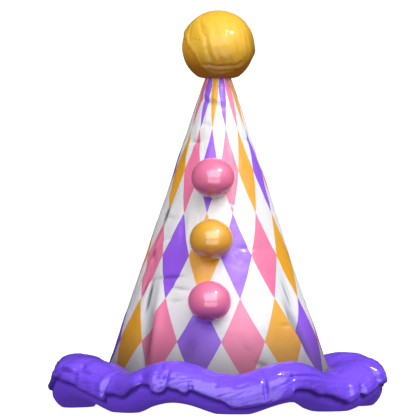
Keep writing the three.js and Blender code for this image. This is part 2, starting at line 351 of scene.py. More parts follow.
def make_cone():
    """The wall's outline turned round the axis, each point moved in square to the cone's side by
    its depth. The wide folds bend both faces of the wall, the small creases only the outside."""
    radius, height, skin = (side[:, None] for side in cone_profile())
    azimuth = np.linspace(-180, 180, CONE_COLUMNS, endpoint=False)[None, :]
    main = fold_depth(MAIN_FOLDS, azimuth, height) + fold_depth(BENDS, azimuth, height, bent=True)
    creases = fold_depth(CREASES, azimuth, height)
    small = creases + crinkle_depth(azimuth, height)
    on_side = radius > TIP_RADIUS / 2
    depth = (main + small * skin) * free_share(height) * on_side
    points = place_round(
        azimuth, radius - depth * np.cos(SIDE_ANGLE), height - depth * np.sin(SIDE_ANGLE)
    )
    edges = np.linspace(-180, 180, CONE_COLUMNS + 1)[None, :]
    laid = edges - COLUMN_TURN + PRINT_SWING * np.sin(np.radians(edges))
    print_map = (
        laid / COLUMN_WIDTH + 0 * height,
        (height - ROW_START) / ROW_HEIGHT + 0 * edges,
    )
    slant_length = (APEX_HEIGHT - height) / np.cos(SIDE_ANGLE)
    slice_angle = np.radians(edges) * np.sin(SIDE_ANGLE)
    cut_map = (slant_length * np.sin(slice_angle), -slant_length * np.cos(slice_angle))
    # Painted shade: one mask darkens the cloth's colour in its folds and creases, and another
    # darkens it low down near the ruffle.
    wide_shade = 0.6 * smoothstep(depth, 0.0006, 0.0032)
    narrow_shade = 0.6 * smoothstep(creases, 0.0003, 0.0014) * smoothstep(CONE_TOP - height, 0, 0.02)
    return ring_mesh(
        "cone_cloth",
        points,
        {"print": print_map, "cloth": cut_map},
        {
            "hollow_shade": np.clip(wide_shade + narrow_shade, 0, 1) * on_side,
            "outside": skin + 0 * azimuth,
            "near_seam_shade": 1 - smoothstep(height, SEAM_DARK, SEAM_CLEAR) + 0 * azimuth,
            "binding": 1 - smoothstep(height, BINDING_TOP - 0.0002, BINDING_TOP) + 0 * azimuth,
        },
    )


cone_cloth = make_cone()

# %% [markdown]
# The ruffle
# The ruffle is a satin tube full of wadding, sewn round the hem so that it waves up and down. Its
# cloth is gathered: it bunches in pinches, hangs in lobes on the outside, and ends in an edge that
# overhangs the smoother cloth below. Inflating a tube with Cloth gives pretty wrinkles, but not in
# chosen places, so here the tube is a ring carried along a wave, and each pinch, lobe and line is
# a bell on it. Turn is the angle round the tube's section: 90 on top, 0 outwards, -90 below.

# %% Sizes of the ruffle
RUFFLE_COLUMNS = 880
RUFFLE_ROWS = 108
WAVES = 8
WAVE_RISE = 0.0053
WAVE_REACH = 0.0046
WAVE_TURN = -12.3
WAVE_LEAD = 6.7
ROLL_STANDOFF = 0.0242
ROLL_REACH = 0.019
ROLL_TUCK = 0.0305
ROLL_HALF_HEIGHT = 0.0161
FOOT_SINK = 0.002
EDGE_STEP = 0.0021
UPPER_LIFT = 0.0003
LIP_HEIGHT = 0.001
LOBE_HEIGHT = 0.0014
LOWER_FULLNESS = 0.0009
BILLOW_HEIGHT = 0.00055
WRINKLE_HEIGHT = 0.0003
PUCKER_HEIGHT = 0.0009

CLOTH_EDGE = [
    (-75, -4), (-67, -10), (-61.5, 6), (-55, -7), (-48.5, -16), (-43, -17), (-38.8, -22),
    (-36.5, 2), (-33.5, 3), (-28, -9), (-23.5, 1), (-21, 8), (-18, 0), (-16.8, -21), (-15, -28),
    (-13.3, -24), (-12.2, -13), (-9.5, -17), (-6.5, -26), (-4.5, -10), (-1, -13), (5.5, -16),
    (10, -32), (17, -36), (24, -41), (28.6, -41),
    (30.2, -20), (32, -18), (36.5, -20), (41.5, -25), (45, -16), (48, -14), (52, -17), (55.5, -25),
    (58, -19), (60.5, -6), (62.5, -17), (66, -11), (71.5, -9), (78, -15), (84, -12), (90, -5),
    (97, 2), (104, 6), (110, 4), (118, -2), (127, -16), (136, -30), (139, -14),
    (148, -12), (156, -26), (161, -15), (170, -9), (179, -27), (184, -16), (192, -12), (199, -29),
    (206, -33), (209, -17), (218, -12), (226, -25), (232, -14), (240, -10), (248, -8), (254, -4),
    (263, -3), (270, -4), (277, -6),
]

# %% Gathers of the ruffle
# Azimuth and turn are a gather's middle, and along, across and depth are in metres. Lean is the
# angle from straight up the roll, positive towards +X, so 90 is a crease along the ruffle.
GATHER_FIELDS = ("azimuth", "turn", "along", "across", "depth", "lean")
GATHERS = records(GATHER_FIELDS, [
    (-61, 40, 0.006, 0.0034, 0.0034, 24),
    (-64.5, 22, 0.004, 0.0024, 0.0022, 40),
    (-51.5, 47, 0.0038, 0.0036, 0.0032, -30),
    (-47.5, 32, 0.006, 0.0024, 0.0014, 66),
    (-52, 14, 0.0075, 0.0022, 0.0012, -6),
    (-56.5, 23, 0.0055, 0.0019, 0.0022, 96),
    (-56.5, 6, 0.0042, 0.0042, -0.0016, 0),
    (-62.5, 14, 0.0026, 0.003, -0.0014, 0),
    (-44, 0, 0.009, 0.0042, -0.0008, -26),
    (-38.2, 24, 0.013, 0.0024, 0.0034, 3),
    (-20.5, 23, 0.0065, 0.0042, 0.0032, -8),
    (-12.3, 18, 0.006, 0.0017, 0.0018, 6),
    (-14.5, 49, 0.0028, 0.0018, 0.0013, -20),
    (-4.5, 0, 0.0035, 0.0018, 0.0012, 0),
    (4, 30, 0.005, 0.0018, 0.0006, 10),
    (20, 8, 0.0075, 0.0015, 0.0018, -4),
    (27.3, 28, 0.0045, 0.0015, 0.0014, 122),
    (29.2, 20, 0.002, 0.002, 0.0014, 0),
    (33, 19, 0.0085, 0.0015, 0.0013, 90),
    (41, 24, 0.0085, 0.0017, 0.0011, 82),
    (37, -3, 0.004, 0.0014, 0.0007, 0),
    (56.8, 4, 0.007, 0.0028, -0.0011, 6),
    (60.5, 2, 0.0042, 0.0021, 0.003, 0),
    (65, 14, 0.006, 0.0026, -0.0008, -4),
    (69, 20, 0.009, 0.002, 0.0032, -8),
    (73, 12, 0.008, 0.0018, 0.0024, -6),
    (77.5, 10, 0.008, 0.002, 0.0018, -4),
    (59, 84, 0.005, 0.0015, 0.0014, 50),
    (55, 74, 0.005, 0.0015, 0.001, 62),
    (-20, -49, 0.0036, 0.0014, 0.001, 117),
    (48.5, -51, 0.009, 0.0014, 0.0011, 80),
    (55, -39, 0.004, 0.0014, 0.001, 66),
])
BACK_GATHERS = 34
BACK_START = 106
BACK_SPAN = 150


def back_gathers():
    """Gathers for the side that the front's list leaves bare: evenly spaced azimuths, each moved
    by up to half a space, with turn, sizes and lean drawn from a seeded generator. Every third
    one is a crease along the ruffle."""
    draw = np.random.default_rng(41).uniform(-1, 1, (BACK_GATHERS, 6))
    place = BACK_START + BACK_SPAN * (np.arange(BACK_GATHERS) + 0.5 * draw[:, 0]) / BACK_GATHERS
    lying = np.arange(BACK_GATHERS) % 3 == 0
    return [
        {
            "azimuth": place[i],
            "turn": 20 + 30 * draw[i, 1],
            "along": 0.0062 + 0.0022 * draw[i, 2],
            "across": (0.0015 if lying[i] else 0.0025) + 0.0005 * draw[i, 3],
            "depth": (0.0012 if lying[i] else 0.0022) + 0.0006 * draw[i, 4],
            "lean": (90 if lying[i] else 0) + 18 * draw[i, 5],
        }
        for i in range(BACK_GATHERS)
    ]


# %% Shape of the ruffle
ROLL_MIDDLE_HEIGHT = ROLL_HALF_HEIGHT + WAVE_RISE - FOOT_SINK
ROLL_MIDDLE_RADIUS = cone_radius(ROLL_MIDDLE_HEIGHT) + ROLL_STANDOFF
ROLL_SECTION_RADIUS = (ROLL_REACH + ROLL_HALF_HEIGHT) / 2


def gather_depth(rows, azimuth, turn):
    """The sum of the gathers' bells: each a valley with a lower, wider ridge taken off it, so
    that the cloth bunches up on both sides. Lengths up and round are measured on the roll."""
    depth = np.zeros(np.broadcast(azimuth, turn).shape)
    for row in rows:
        up = np.radians(turn - row["turn"]) * ROLL_SECTION_RADIUS
        round_way = np.radians(turn_between(row["azimuth"], azimuth)) * ROLL_MIDDLE_RADIUS
        along, across = fold_ways(up, round_way, row["lean"])
        valley = bell(across, row["across"]) - 0.42 * bell(across, 2.6 * row["across"])
        depth += 1.7 * row["depth"] * bell(along, row["along"]) * valley
    return depth


def ruffle_relief(azimuth, turn):
    """How far the cloth stands out from the plain roll. Above the cloth edge it bulges in a lip
    and then settles; below it lies a step lower, and comes back to the roll, a little fuller, at
    the bottom. Lobes are where the edge hangs low. Gathers, two sizes of noise and puckers along
    the inner seam come on top of that. The second result is how far a point is upper cloth."""
    edge = round_table(azimuth, CLOTH_EDGE)
    above = turn - edge
    upper = smoothstep(above, -1.6, 2.2)
    lower_part = (1 - upper) * (0.25 + 0.75 * bell(above, 16)) * smoothstep(turn, -88, -62)
    lip = upper * bell(above - 6, 9)
    outside = smoothstep(turn, 165, 110)
    hang = np.clip((-10 - edge) / 28, -0.3, 1)
    lobe = hang * bell(above - 14, 17)
    share = azimuth / 360
    billow = soft_noise(share + 0.0004 * turn, (turn + 180) / 360, 58, 11, seed=12)
    wrinkle = soft_noise(share - 0.0008 * turn, (turn + 180) / 360, 170, 34, seed=31)
    seam = soft_noise(share, (turn + 180) / 360, 118, 5, seed=77)
    full = LOWER_FULLNESS * bell(turn + 58, 20)
    relief = UPPER_LIFT * upper + LIP_HEIGHT * lip + LOBE_HEIGHT * lobe * upper
    relief = relief - EDGE_STEP * lower_part + full
    soft = BILLOW_HEIGHT * billow * (0.35 + 0.65 * upper)
    relief += soft + WRINKLE_HEIGHT * wrinkle * (0.2 + 0.8 * upper)
    relief += PUCKER_HEIGHT * seam * bell(turn - 128, 40)
    gathers = gather_depth(GATHERS, azimuth, turn) + gather_depth(back_gathers(), azimuth, turn)
    return (relief - gathers * (0.25 + 0.75 * upper)) * outside, upper


def edge_shade(azimuth, turn):
    """Painted shade: where the satin's colour is darker, in a line just under the cloth edge and a
    little above it.
    """
    above = turn - round_table(azimuth, CLOTH_EDGE)
    return np.clip(bell(above + 5, 7) + 0.45 * bell(above - 6, 12), 0, 1)


def make_ruffle():
    """A ring carried along a wave. Its middle rises and falls, and reaches out and in, by a cosine
    of the azimuth; its section is an ellipse whose inner half is longer and is pressed flat by
    the cone. Rows are set closer together over the outside, where the edge of the cloth runs."""
    fine = np.linspace(-180, 180, 2001)
    density = np.cumsum(1 + 2.4 * bell(fine + 6, 48) + 0.8 * bell(fine - 60, 45))
    spread = (density - density[0]) / (density[-1] - density[0])
    turn = np.interp(np.arange(RUFFLE_ROWS) / RUFFLE_ROWS, spread, fine)[:, None]
    azimuth = np.linspace(-180, 180, RUFFLE_COLUMNS, endpoint=False)[None, :]
    wave = np.radians(WAVES * (azimuth - WAVE_TURN))
    lead = np.radians(WAVES * WAVE_LEAD)
    relief, upper = ruffle_relief(azimuth, turn)
    side, rise = np.cos(np.radians(turn)), np.sin(np.radians(turn))
    half = np.where(side > 0, ROLL_REACH, ROLL_TUCK)
    out = ROLL_MIDDLE_RADIUS + WAVE_REACH * np.cos(wave + lead) + (half + relief) * side
    up = ROLL_MIDDLE_HEIGHT + WAVE_RISE * np.cos(wave) + (ROLL_HALF_HEIGHT + relief) * rise
    height = np.maximum(up, 0)
    out = np.maximum(out, cone_radius(height) + SEAT_GAP / np.cos(SIDE_ANGLE))
    edge_turns = np.append(turn[:, 0], 180)[:, None]
    edge_azimuths = np.linspace(-180, 180, RUFFLE_COLUMNS + 1)[None, :]
    cut_map = (
        np.radians(edge_azimuths) * ROLL_MIDDLE_RADIUS + 0 * edge_turns,
        np.radians(edge_turns) * ROLL_SECTION_RADIUS + 0 * edge_azimuths,
    )
    # Painted shade: the deeper the cloth lies, in gathers and under the edge's step, the darker its
    # colour.
    hollow_shade = np.clip(-relief / 0.002, 0, 1)
    return ring_mesh(
        "ruffle_satin",
        place_round(azimuth, out, height),
        {"cloth": cut_map},
        {
            "hollow_shade": hollow_shade,
            "upper_cloth": upper + 0 * relief,
            "shade": edge_shade(azimuth, turn),
        },
        wrap_rows=True,
    )


ruffle_satin = make_ruffle()

# %% [markdown]
# The ball on the tip
# A foam ball is covered with a round of satin whose lower edge is pulled down over one side and
# tucked. The folds run down the ball on a slant, towards the tuck. Under the tuck the cloth lies a
# step lower. The cone's tip sits in a socket, so the surface starts in there, comes down along the
# cone and turns out into the ball. A UV sphere with noise would have no such order in its folds.

# %% Make the ball on the tip
TOP_BALL_RADIUS = 0.0293
TOP_BALL_HEIGHT = APEX_HEIGHT - 0.0054
BALL_COLUMNS = 300
BALL_ROWS = 170
SOCKET_ROWS = 14
SOCKET_MOUTH_DROP = 0.0251
TUCK_STEP = 0.0005
TUCK_LIP = 0.0005
SOFT_HEIGHT = 0.00035
FINE_HEIGHT = 0.0001

TUCK_EDGE = [
    (-180, -12), (-150, 2), (-120, 8), (-85, 20), (-57, 12), (-46, -2), (-36, -12), (-25, -38),
    (-16, -46), (-5, -49), (12, -49), (30, -46), (44, -41), (54, -36), (60, -28), (81, -20),
    (105, -8), (125, -15), (150, -24),
]
BALL_FOLD_FIELDS = ("azimuth", "latitude", "along", "across", "depth", "lean")
BALL_FOLDS = records(BALL_FOLD_FIELDS, [
    (-11.5, -4, 0.014, 0.0024, 0.0008, -11),
    (-28, 31, 0.006, 0.0017, 0.0008, -28),
    (6, -14, 0.011, 0.0026, 0.00035, -20),
    (23, -18, 0.012, 0.0022, 0.0004, -28),
    (38, -4, 0.009, 0.0022, 0.0009, -14),
    (44, -28, 0.004, 0.0018, 0.0011, 60),
    (-2, 26, 0.012, 0.0024, 0.0006, -8),
    (28, 34, 0.009, 0.0022, 0.0005, 12),
    (48, 24, 0.01, 0.002, 0.0006, 4),
    (58, 2, 0.013, 0.002, 0.0009, -6),
    (73, -4, 0.012, 0.0018, 0.0008, 4),
    (-52, 22, 0.008, 0.0018, 0.0008, -20),
    (-8, -31, 0.008, 0.0013, 0.0009, 98),
    (20, -32, 0.009, 0.0013, 0.001, 84),
    (-4, -40, 0.007, 0.0009, 0.0006, 100),
    (22, -41, 0.008, 0.0009, 0.0007, 82),
    (-62, -12, 0.009, 0.0014, 0.0008, -22),
    (98, 14, 0.012, 0.0026, 0.001, -12),
    (118, 10, 0.013, 0.0022, 0.0009, -16),
    (140, 4, 0.013, 0.0028, 0.001, -10),
    (163, 8, 0.012, 0.0022, 0.0008, -18),
    (-172, 12, 0.012, 0.0026, 0.001, -12),
    (-148, 24, 0.01, 0.0022, 0.0009, -16),
    (-122, 30, 0.009, 0.0022, 0.0008, -14),
    (-96, 38, 0.008, 0.002, 0.0008, -20),
    (-78, -22, 0.009, 0.0016, 0.0007, -26),
])


def ball_relief(azimuth, latitude):
    """How far the satin stands out from the plain ball. Each fold is a long valley between two low
    ridges. Under the tuck's edge the cloth lies a step lower, with a lip above the edge, and two
    sizes of noise come on top and fade out at the pole."""
    depth = np.zeros(np.broadcast(azimuth, latitude).shape)
    for row in BALL_FOLDS:
        up = np.radians(latitude - row["latitude"]) * TOP_BALL_RADIUS
        way = turn_between(row["azimuth"], azimuth)
        round_way = np.radians(way) * TOP_BALL_RADIUS * np.cos(np.radians(latitude))
        along, across = fold_ways(up, round_way, row["lean"])
        valley = bell(across, row["across"]) - 0.4 * bell(across, 2.5 * row["across"])
        depth += row["depth"] * bell(along, row["along"]) * valley
    above = latitude - round_table(azimuth, TUCK_EDGE)
    upper = smoothstep(above, -2.2, 1.6)
    share = azimuth / 360 + latitude / 900
    soft = soft_noise(share, (latitude + 90) / 180, 22, 9, seed=6)
    fine = soft_noise(share, (latitude + 90) / 180, 74, 22, seed=9)
    away = smoothstep(latitude, 88, 60)
    relief = TUCK_LIP * upper * bell(above - 5, 6) - TUCK_STEP * (1 - upper)
    relief += (SOFT_HEIGHT * soft + FINE_HEIGHT * fine) * (0.3 + 0.7 * upper) * away
    return relief - depth * (0.35 + 0.65 * upper), upper


def ball_shade(azimuth, latitude):
    """Painted shade: where the satin's colour is darker, low down and on the side turned away to the
    right.
    """
    low = smoothstep(-latitude, -8, 42)
    side = bell(turn_between(84, azimuth), 26) * smoothstep(latitude, 62, 0)
    return np.clip(low + 0.8 * side, 0, 1)


def make_top_ball():
    """Rows from the socket's pole out and down the cone's side to the socket's mouth, and then
    round the ball to the top. Over the first degrees the surface grows from the mouth to the
    ball's full radius, and below the cone's tip it keeps clear of the cone."""
    azimuth = np.linspace(-180, 180, BALL_COLUMNS, endpoint=False)[None, :]
    gap = SEAT_GAP / np.cos(SIDE_ANGLE)
    mouth = TOP_BALL_HEIGHT - SOCKET_MOUTH_DROP
    side_height = np.linspace(CONE_TOP + SEAT_GAP, mouth, SOCKET_ROWS)[:, None]
    socket_radius = np.concatenate([[[0]], cone_radius(side_height) + gap]) + 0 * azimuth
    socket_height = np.concatenate([[[CONE_TOP + SEAT_GAP]], side_height]) + 0 * azimuth
    start = np.degrees(np.arctan2(socket_height[-1, 0] - TOP_BALL_HEIGHT, socket_radius[-1, 0]))
    latitude = np.linspace(start, 90, BALL_ROWS + 1)[1:, None]
    relief, upper = ball_relief(azimuth, latitude)
    first_radius = np.hypot(socket_radius[-1, 0], socket_height[-1, 0] - TOP_BALL_HEIGHT)
    grown = smoothstep(latitude, start - 2, start + 13)
    reach = first_radius + (TOP_BALL_RADIUS + relief - first_radius) * grown
    radius = np.concatenate([socket_radius, reach * np.cos(np.radians(latitude))])
    height = np.concatenate([
        socket_height, TOP_BALL_HEIGHT + reach * np.sin(np.radians(latitude)) + 0 * azimuth,
    ])
    cone_room = cone_radius(height) + gap
    radius = np.where(height < CONE_TOP, np.maximum(radius, cone_room), radius)
    radius[-1] = 0
    height[-1] = TOP_BALL_HEIGHT + TOP_BALL_RADIUS
    inner = np.zeros((SOCKET_ROWS + 1, BALL_COLUMNS))
    edges = np.linspace(-180, 180, BALL_COLUMNS + 1)[None, :]
    arc = np.concatenate([np.linspace(-0.03, 0, SOCKET_ROWS + 1)[:, None], latitude - start])
    cut_map = (np.radians(edges) * TOP_BALL_RADIUS + 0 * arc, np.radians(arc) * TOP_BALL_RADIUS)
    # Painted shade: two of these masks darken the satin's colour, one in the folds' valleys and
    # under the tuck, the other low down, on the right side and all over the socket.
    return ring_mesh(
        "top_ball_satin",
        place_round(azimuth, radius, height),
        {"cloth": (cut_map[0], cut_map[1] + 0 * edges)},
        {
            "hollow_shade": np.concatenate([inner, np.clip(-relief / 0.0016, 0, 1)]),
            "upper_cloth": np.concatenate([inner, upper + 0 * relief]),
            "shade": np.concatenate([inner + 1, ball_shade(azimuth, latitude)]),
        },
    )


top_ball_satin = make_top_ball()

# %% [markdown]
# The balls down the front
# Three hollow plastic balls, glossy and a little wider than they are tall, are fixed to the front.
# Each is an ellipsoid; where it would run into the cone, its surface is moved out along its own
# radius from the hat's axis until it lies on the cone, so that the ball sits in a dish that fits.

# %% Make the balls down the front
BUTTON_WIDTH = 0.0342
BUTTON_HEIGHT = 0.032
BUTTON_STANDOFF = 0.012
BUTTON_SPACING = 0.0483
LOWEST_BUTTON_HEIGHT = 0.0827
BUTTON_COLUMNS = 128
BUTTON_ROWS = 81


def make_front_ball(name, height):
    """An ellipsoid from pole to pole, then every point inside the cone's room moved onto it."""
    azimuth = np.linspace(-180, 180, BUTTON_COLUMNS, endpoint=False)[None, :]
    latitude = np.radians(np.linspace(-90, 90, BUTTON_ROWS))[:, None]
    middle_out = cone_radius(height) + BUTTON_STANDOFF * np.cos(SIDE_ANGLE)
    middle_up = height + BUTTON_STANDOFF * np.sin(SIDE_ANGLE)
    ball = place_round(
        azimuth,
        BUTTON_WIDTH / 2 * np.cos(latitude),
        BUTTON_HEIGHT / 2 * np.sin(latitude) + 0 * azimuth,
    )
    ball += np.array([0, -middle_out, middle_up])
    radius = np.hypot(ball[..., 0], ball[..., 1])
    own_azimuth = np.degrees(np.arctan2(ball[..., 0], -ball[..., 1]))
    room = cone_side(own_azimuth, ball[..., 2]) + SEAT_GAP / np.cos(SIDE_ANGLE)
    ball = place_round(own_azimuth, np.maximum(radius, room), ball[..., 2])
    # Painted shade: darker towards the bottom of the ball.
    underside_shade = smoothstep(-np.sin(latitude), 0.1, 0.95) + 0 * azimuth
    return ring_mesh(name, ball, {}, {"underside_shade": underside_shade})


front_balls = [
    make_front_ball(name, LOWEST_BUTTON_HEIGHT + i * BUTTON_SPACING)
    for i, name in enumerate(["pink_gloss_ball_low", "gold_gloss_ball", "pink_gloss_ball_high"])
]

# %% [markdown]
# Tools for materials
# A material is a small graph of nodes, and a node group is a graph that several materials share.
# Two short functions make both easy to read: one adds a node and fills its sockets with values or
# links, and one makes a group with named sockets.


# %% Node helpers
def add(tree, kind, settings=None, **sockets):
    """A new node. settings are its own fields, and sockets its inputs, by name or by number as
    n0, n1: a value fills the input, and another node's output is linked to it."""
    node = tree.nodes.new(kind)
    for field, value in (settings or {}).items():
        setattr(node, field, value)
    for name, value in sockets.items():
        key = int(name[1:]) if name[0] == "n" and name[1:].isdigit() else name.replace("_", " ")
        socket = node.inputs[key]
        if isinstance(value, bpy.types.NodeSocket):
            tree.links.new(value, socket)
        else:
            socket.default_value = value
    return node


def math(tree, operation, first, second=0.0):
    """A Math node's result."""
    return add(tree, "ShaderNodeMath", {"operation": operation}, n0=first, n1=second).outputs[0]


def ramp(tree, value, low, high):
    """0 where value is under low, 1 where it is over high, and an S curve in between."""
    node = add(
        tree, "ShaderNodeMapRange", {"interpolation_type": "SMOOTHSTEP"}, Value=value
    )
    node.inputs["From Min"].default_value = low
    node.inputs["From Max"].default_value = high
    return node.outputs["Result"]


def blend(tree, share, first, second, mode="MIX"):
    """Two colours mixed by a share."""
    node = add(tree, "ShaderNodeMix", {"data_type": "RGBA", "blend_type": mode})
    for number, value in ((0, share), (6, first), (7, second)):
        if isinstance(value, bpy.types.NodeSocket):
            tree.links.new(value, node.inputs[number])
        else:
            node.inputs[number].default_value = value
    return node.outputs[2]


def new_group(name, inputs, outputs):
    """An empty group with named sockets. inputs are name, type and value; outputs name and type."""
    tree = bpy.data.node_groups.new(name, "ShaderNodeTree")
    for socket_name, kind, value in inputs:
        socket = tree.interface.new_socket(socket_name, in_out="INPUT", socket_type=kind)
        if value is not None:
            socket.default_value = value
    for socket_name, kind in outputs:
        tree.interface.new_socket(socket_name, in_out="OUTPUT", socket_type=kind)
    return tree, tree.nodes.new("NodeGroupInput").outputs, tree.nodes.new("NodeGroupOutput").inputs


def place_group(tree, group, **sockets):
    """A group's node in a material, with its inputs set."""
    return add(tree, "ShaderNodeGroup", {"node_tree": group}, **sockets).outputs


def new_material(name):
    """An empty material with a Principled BSDF, and its tree and that shader."""
    material = bpy.data.materials.new(name)
    material.use_nodes = True
    tree = material.node_tree
    return material, tree, tree.nodes["Principled BSDF"]


def mask_of(tree, name):
    """The value that a piece's mesh carries at each point under a name."""
    return add(tree, "ShaderNodeAttribute", {"attribute_name": name}).outputs["Fac"]


def colour(red, green, blue):
    """A shader colour from the red, green and blue that a screen shows, from 0 to 255."""
    shown = np.array([red, green, blue]) / 255
    linear = np.where(shown <= 0.04045, shown / 12.92, ((shown + 0.055) / 1.055) ** 2.4)
    return (*linear.tolist(), 1.0)


# %% [markdown]
# The cloth effects
# Both cloths of this hat are woven, and both show small creases that are too fine for the mesh.
# The weave is worked out on the map of the cloth as it was cut: satin shows long floats in one
# direction, each passing under a thread now and then. Creases and patches come from noise.

# %% Shared cloth groups
def make_weave_group():
    """Height: one ridge for each warp thread, dipping where it passes under the weft. The dips
    step sideways from thread to thread, which gives satin its faint slanted lines. Shade is a
    value drawn for each thread."""
    tree, given, result = new_group(
        "satin_weave",
        [("Map", "NodeSocketVector", None), ("Threads", "NodeSocketFloat", 1500.0)],
        [("Height", "NodeSocketFloat"), ("Shade", "NodeSocketFloat")],
    )
    parts = add(tree, "ShaderNodeSeparateXYZ", Vector=given["Map"]).outputs
    across = math(tree, "MULTIPLY", parts["X"], given["Threads"])
    along = math(tree, "MULTIPLY", parts["Y"], given["Threads"])
    thread = math(tree, "FLOOR", across)
    ridge = math(tree, "SINE", math(tree, "MULTIPLY", math(tree, "FRACT", across), np.pi))
    step = math(tree, "MULTIPLY", thread, 0.4)
    slide = math(tree, "FRACT", math(tree, "ADD", math(tree, "MULTIPLY", along, 0.2), step))
    dip = ramp(tree, slide, 0.0, 0.2)
    height = math(tree, "MULTIPLY", ridge, dip)
    tree.links.new(height, result["Height"])
    chance = add(tree, "ShaderNodeTexWhiteNoise", {"noise_dimensions": "1D"}, W=thread)
    tree.links.new(chance.outputs["Value"], result["Shade"])
    return tree


def make_crease_group():
    """Height: a soft noise with fine creases along its middle level, which fade in and out.
    Patches: where the cloth is a little lighter or duller."""
    tree, given, result = new_group(
        "cloth_creases",
        [("Place", "NodeSocketVector", None), ("Fineness", "NodeSocketFloat", 60.0)],
        [("Height", "NodeSocketFloat"), ("Patches", "NodeSocketFloat")],
    )
    noise = add(
        tree, "ShaderNodeTexNoise", Vector=given["Place"], Scale=given["Fineness"], Detail=3.0,
        Roughness=0.55, Distortion=0.6,
    )
    spread = math(tree, "ABSOLUTE", math(tree, "SUBTRACT", noise.outputs["Fac"], 0.5))
    line = ramp(tree, spread, 0.05, 0.0)
    wide = add(
        tree, "ShaderNodeTexNoise", Vector=given["Place"], Detail=2.0,
        Scale=math(tree, "MULTIPLY", given["Fineness"], 0.3),
    ).outputs["Fac"]
    faded = math(tree, "MULTIPLY", line, ramp(tree, wide, 0.45, 0.65))
    tree.links.new(math(tree, "ADD", noise.outputs["Fac"], math(tree, "MULTIPLY", faded, -0.3)),
                   result["Height"])
    tree.links.new(wide, result["Patches"])
    return tree


weave_group = make_weave_group()
crease_group = make_crease_group()


# %% [markdown]
# The printed cloth of the cone
# The harlequin print is worked out on the print map, where each column and each row is one unit
# wide. Inside a unit the distance to a diamond's edge is half a unit, less the way from the
# middle across, less the way from the middle up. The colours are counted in threes from the
# front to both sides, and every second row starts one colour further on.

# %% Cloth of the cone
WHITE = colour(246, 245, 247)
PINK = colour(253, 126, 172)
GOLD = colour(250, 176, 14)
VIOLET = colour(157, 86, 250)
# SEAM_SHADE and FOLD_SHADE are painted shade: greys that the cloth's colour is multiplied by, low
# down near the ruffle and in the folds.
SEAM_SHADE = colour(146, 144, 134)
FOLD_SHADE = colour(120, 118, 126)
REVERSE = colour(226, 222, 216)
BINDING = colour(104, 66, 214)


def print_mask(tree):
    """The diamonds' mask and their colour. Column and row are the nearest whole number of across
    and the whole number under up, and the index counts columns plus the row's parity by threes."""
    place = add(tree, "ShaderNodeUVMap", {"uv_map": "print"}).outputs["UV"]
    parts = add(tree, "ShaderNodeSeparateXYZ", Vector=place).outputs
    column = math(tree, "ROUND", parts["X"])
    row = math(tree, "FLOOR", parts["Y"])
    across = math(tree, "ABSOLUTE", math(tree, "SUBTRACT", parts["X"], column))
    middle = math(tree, "ADD", row, 0.5)
    up = math(tree, "ABSOLUTE", math(tree, "SUBTRACT", parts["Y"], middle))
    inside = math(tree, "SUBTRACT", math(tree, "SUBTRACT", 0.5, across), up)
    diamond = ramp(tree, inside, -0.011, -0.001)
    parity = math(tree, "SUBTRACT", 1.0, math(tree, "FLOORED_MODULO", row, 2.0))
    counted = math(tree, "ADD", math(tree, "ABSOLUTE", column), parity)
    index = math(tree, "FLOORED_MODULO", counted, 3.0)
    tint = blend(tree, ramp(tree, index, 0.4, 0.6), GOLD, VIOLET)
    return diamond, blend(tree, ramp(tree, index, 1.4, 1.6), tint, PINK)


def make_printed_cloth():
    """White cloth with the print, and over them the painted shade of folds and of the ruffle, the
    plain inside and the binding on the hem. It shines least near the ruffle."""
    material, tree, shader = new_material("printed_cloth")
    place = add(tree, "ShaderNodeTexCoord").outputs["Object"]
    cloth_map = add(tree, "ShaderNodeUVMap", {"uv_map": "cloth"}).outputs["UV"]
    weave = place_group(tree, weave_group, Map=cloth_map, Threads=1600.0)
    crease = place_group(tree, crease_group, Place=place, Fineness=46.0)
    diamond, tint = print_mask(tree)
    patchy = ramp(tree, crease["Patches"], 0.3, 0.7)
    dyed = blend(tree, math(tree, "MULTIPLY", patchy, 0.04), tint, WHITE)
    cloth = blend(tree, diamond, WHITE, dyed)
    # Painted shade: the colour is multiplied by one grey in the folds and creases, and by another
    # grey low down near the ruffle.
    fold_shaded = blend(tree, mask_of(tree, "hollow_shade"), cloth, FOLD_SHADE, mode="MULTIPLY")
    shaded = blend(tree, mask_of(tree, "near_seam_shade"), fold_shaded, SEAM_SHADE, mode="MULTIPLY")
    printed = blend(tree, mask_of(tree, "outside"), REVERSE, shaded)
    bound = blend(tree, mask_of(tree, "binding"), printed, BINDING)
    tree.links.new(bound, shader.inputs["Base Color"])
    near_seam_shade = mask_of(tree, "near_seam_shade")
    dull = math(tree, "ADD", 0.38, math(tree, "MULTIPLY", patchy, 0.14))
    duller = math(tree, "ADD", dull, math(tree, "MULTIPLY", near_seam_shade, 0.35))
    tree.links.new(duller, shader.inputs["Roughness"])
    coated = math(tree, "SUBTRACT", 0.18, math(tree, "MULTIPLY", near_seam_shade, 0.17))
    tree.links.new(coated, shader.inputs["Coat Weight"])
    shader.inputs["Specular IOR Level"].default_value = 0.4
    shader.inputs["Coat Roughness"].default_value = 0.12
    bumps = add(tree, "ShaderNodeBump", Height=weave["Height"], Strength=0.12, Distance=0.0002)
    creased = add(
        tree, "ShaderNodeBump", Height=crease["Height"], Strength=0.35, Distance=0.0012,
        Normal=bumps.outputs["Normal"],
    )
    tree.links.new(creased.outputs["Normal"], shader.inputs["Normal"])
    return material


printed_cloth = make_printed_cloth()
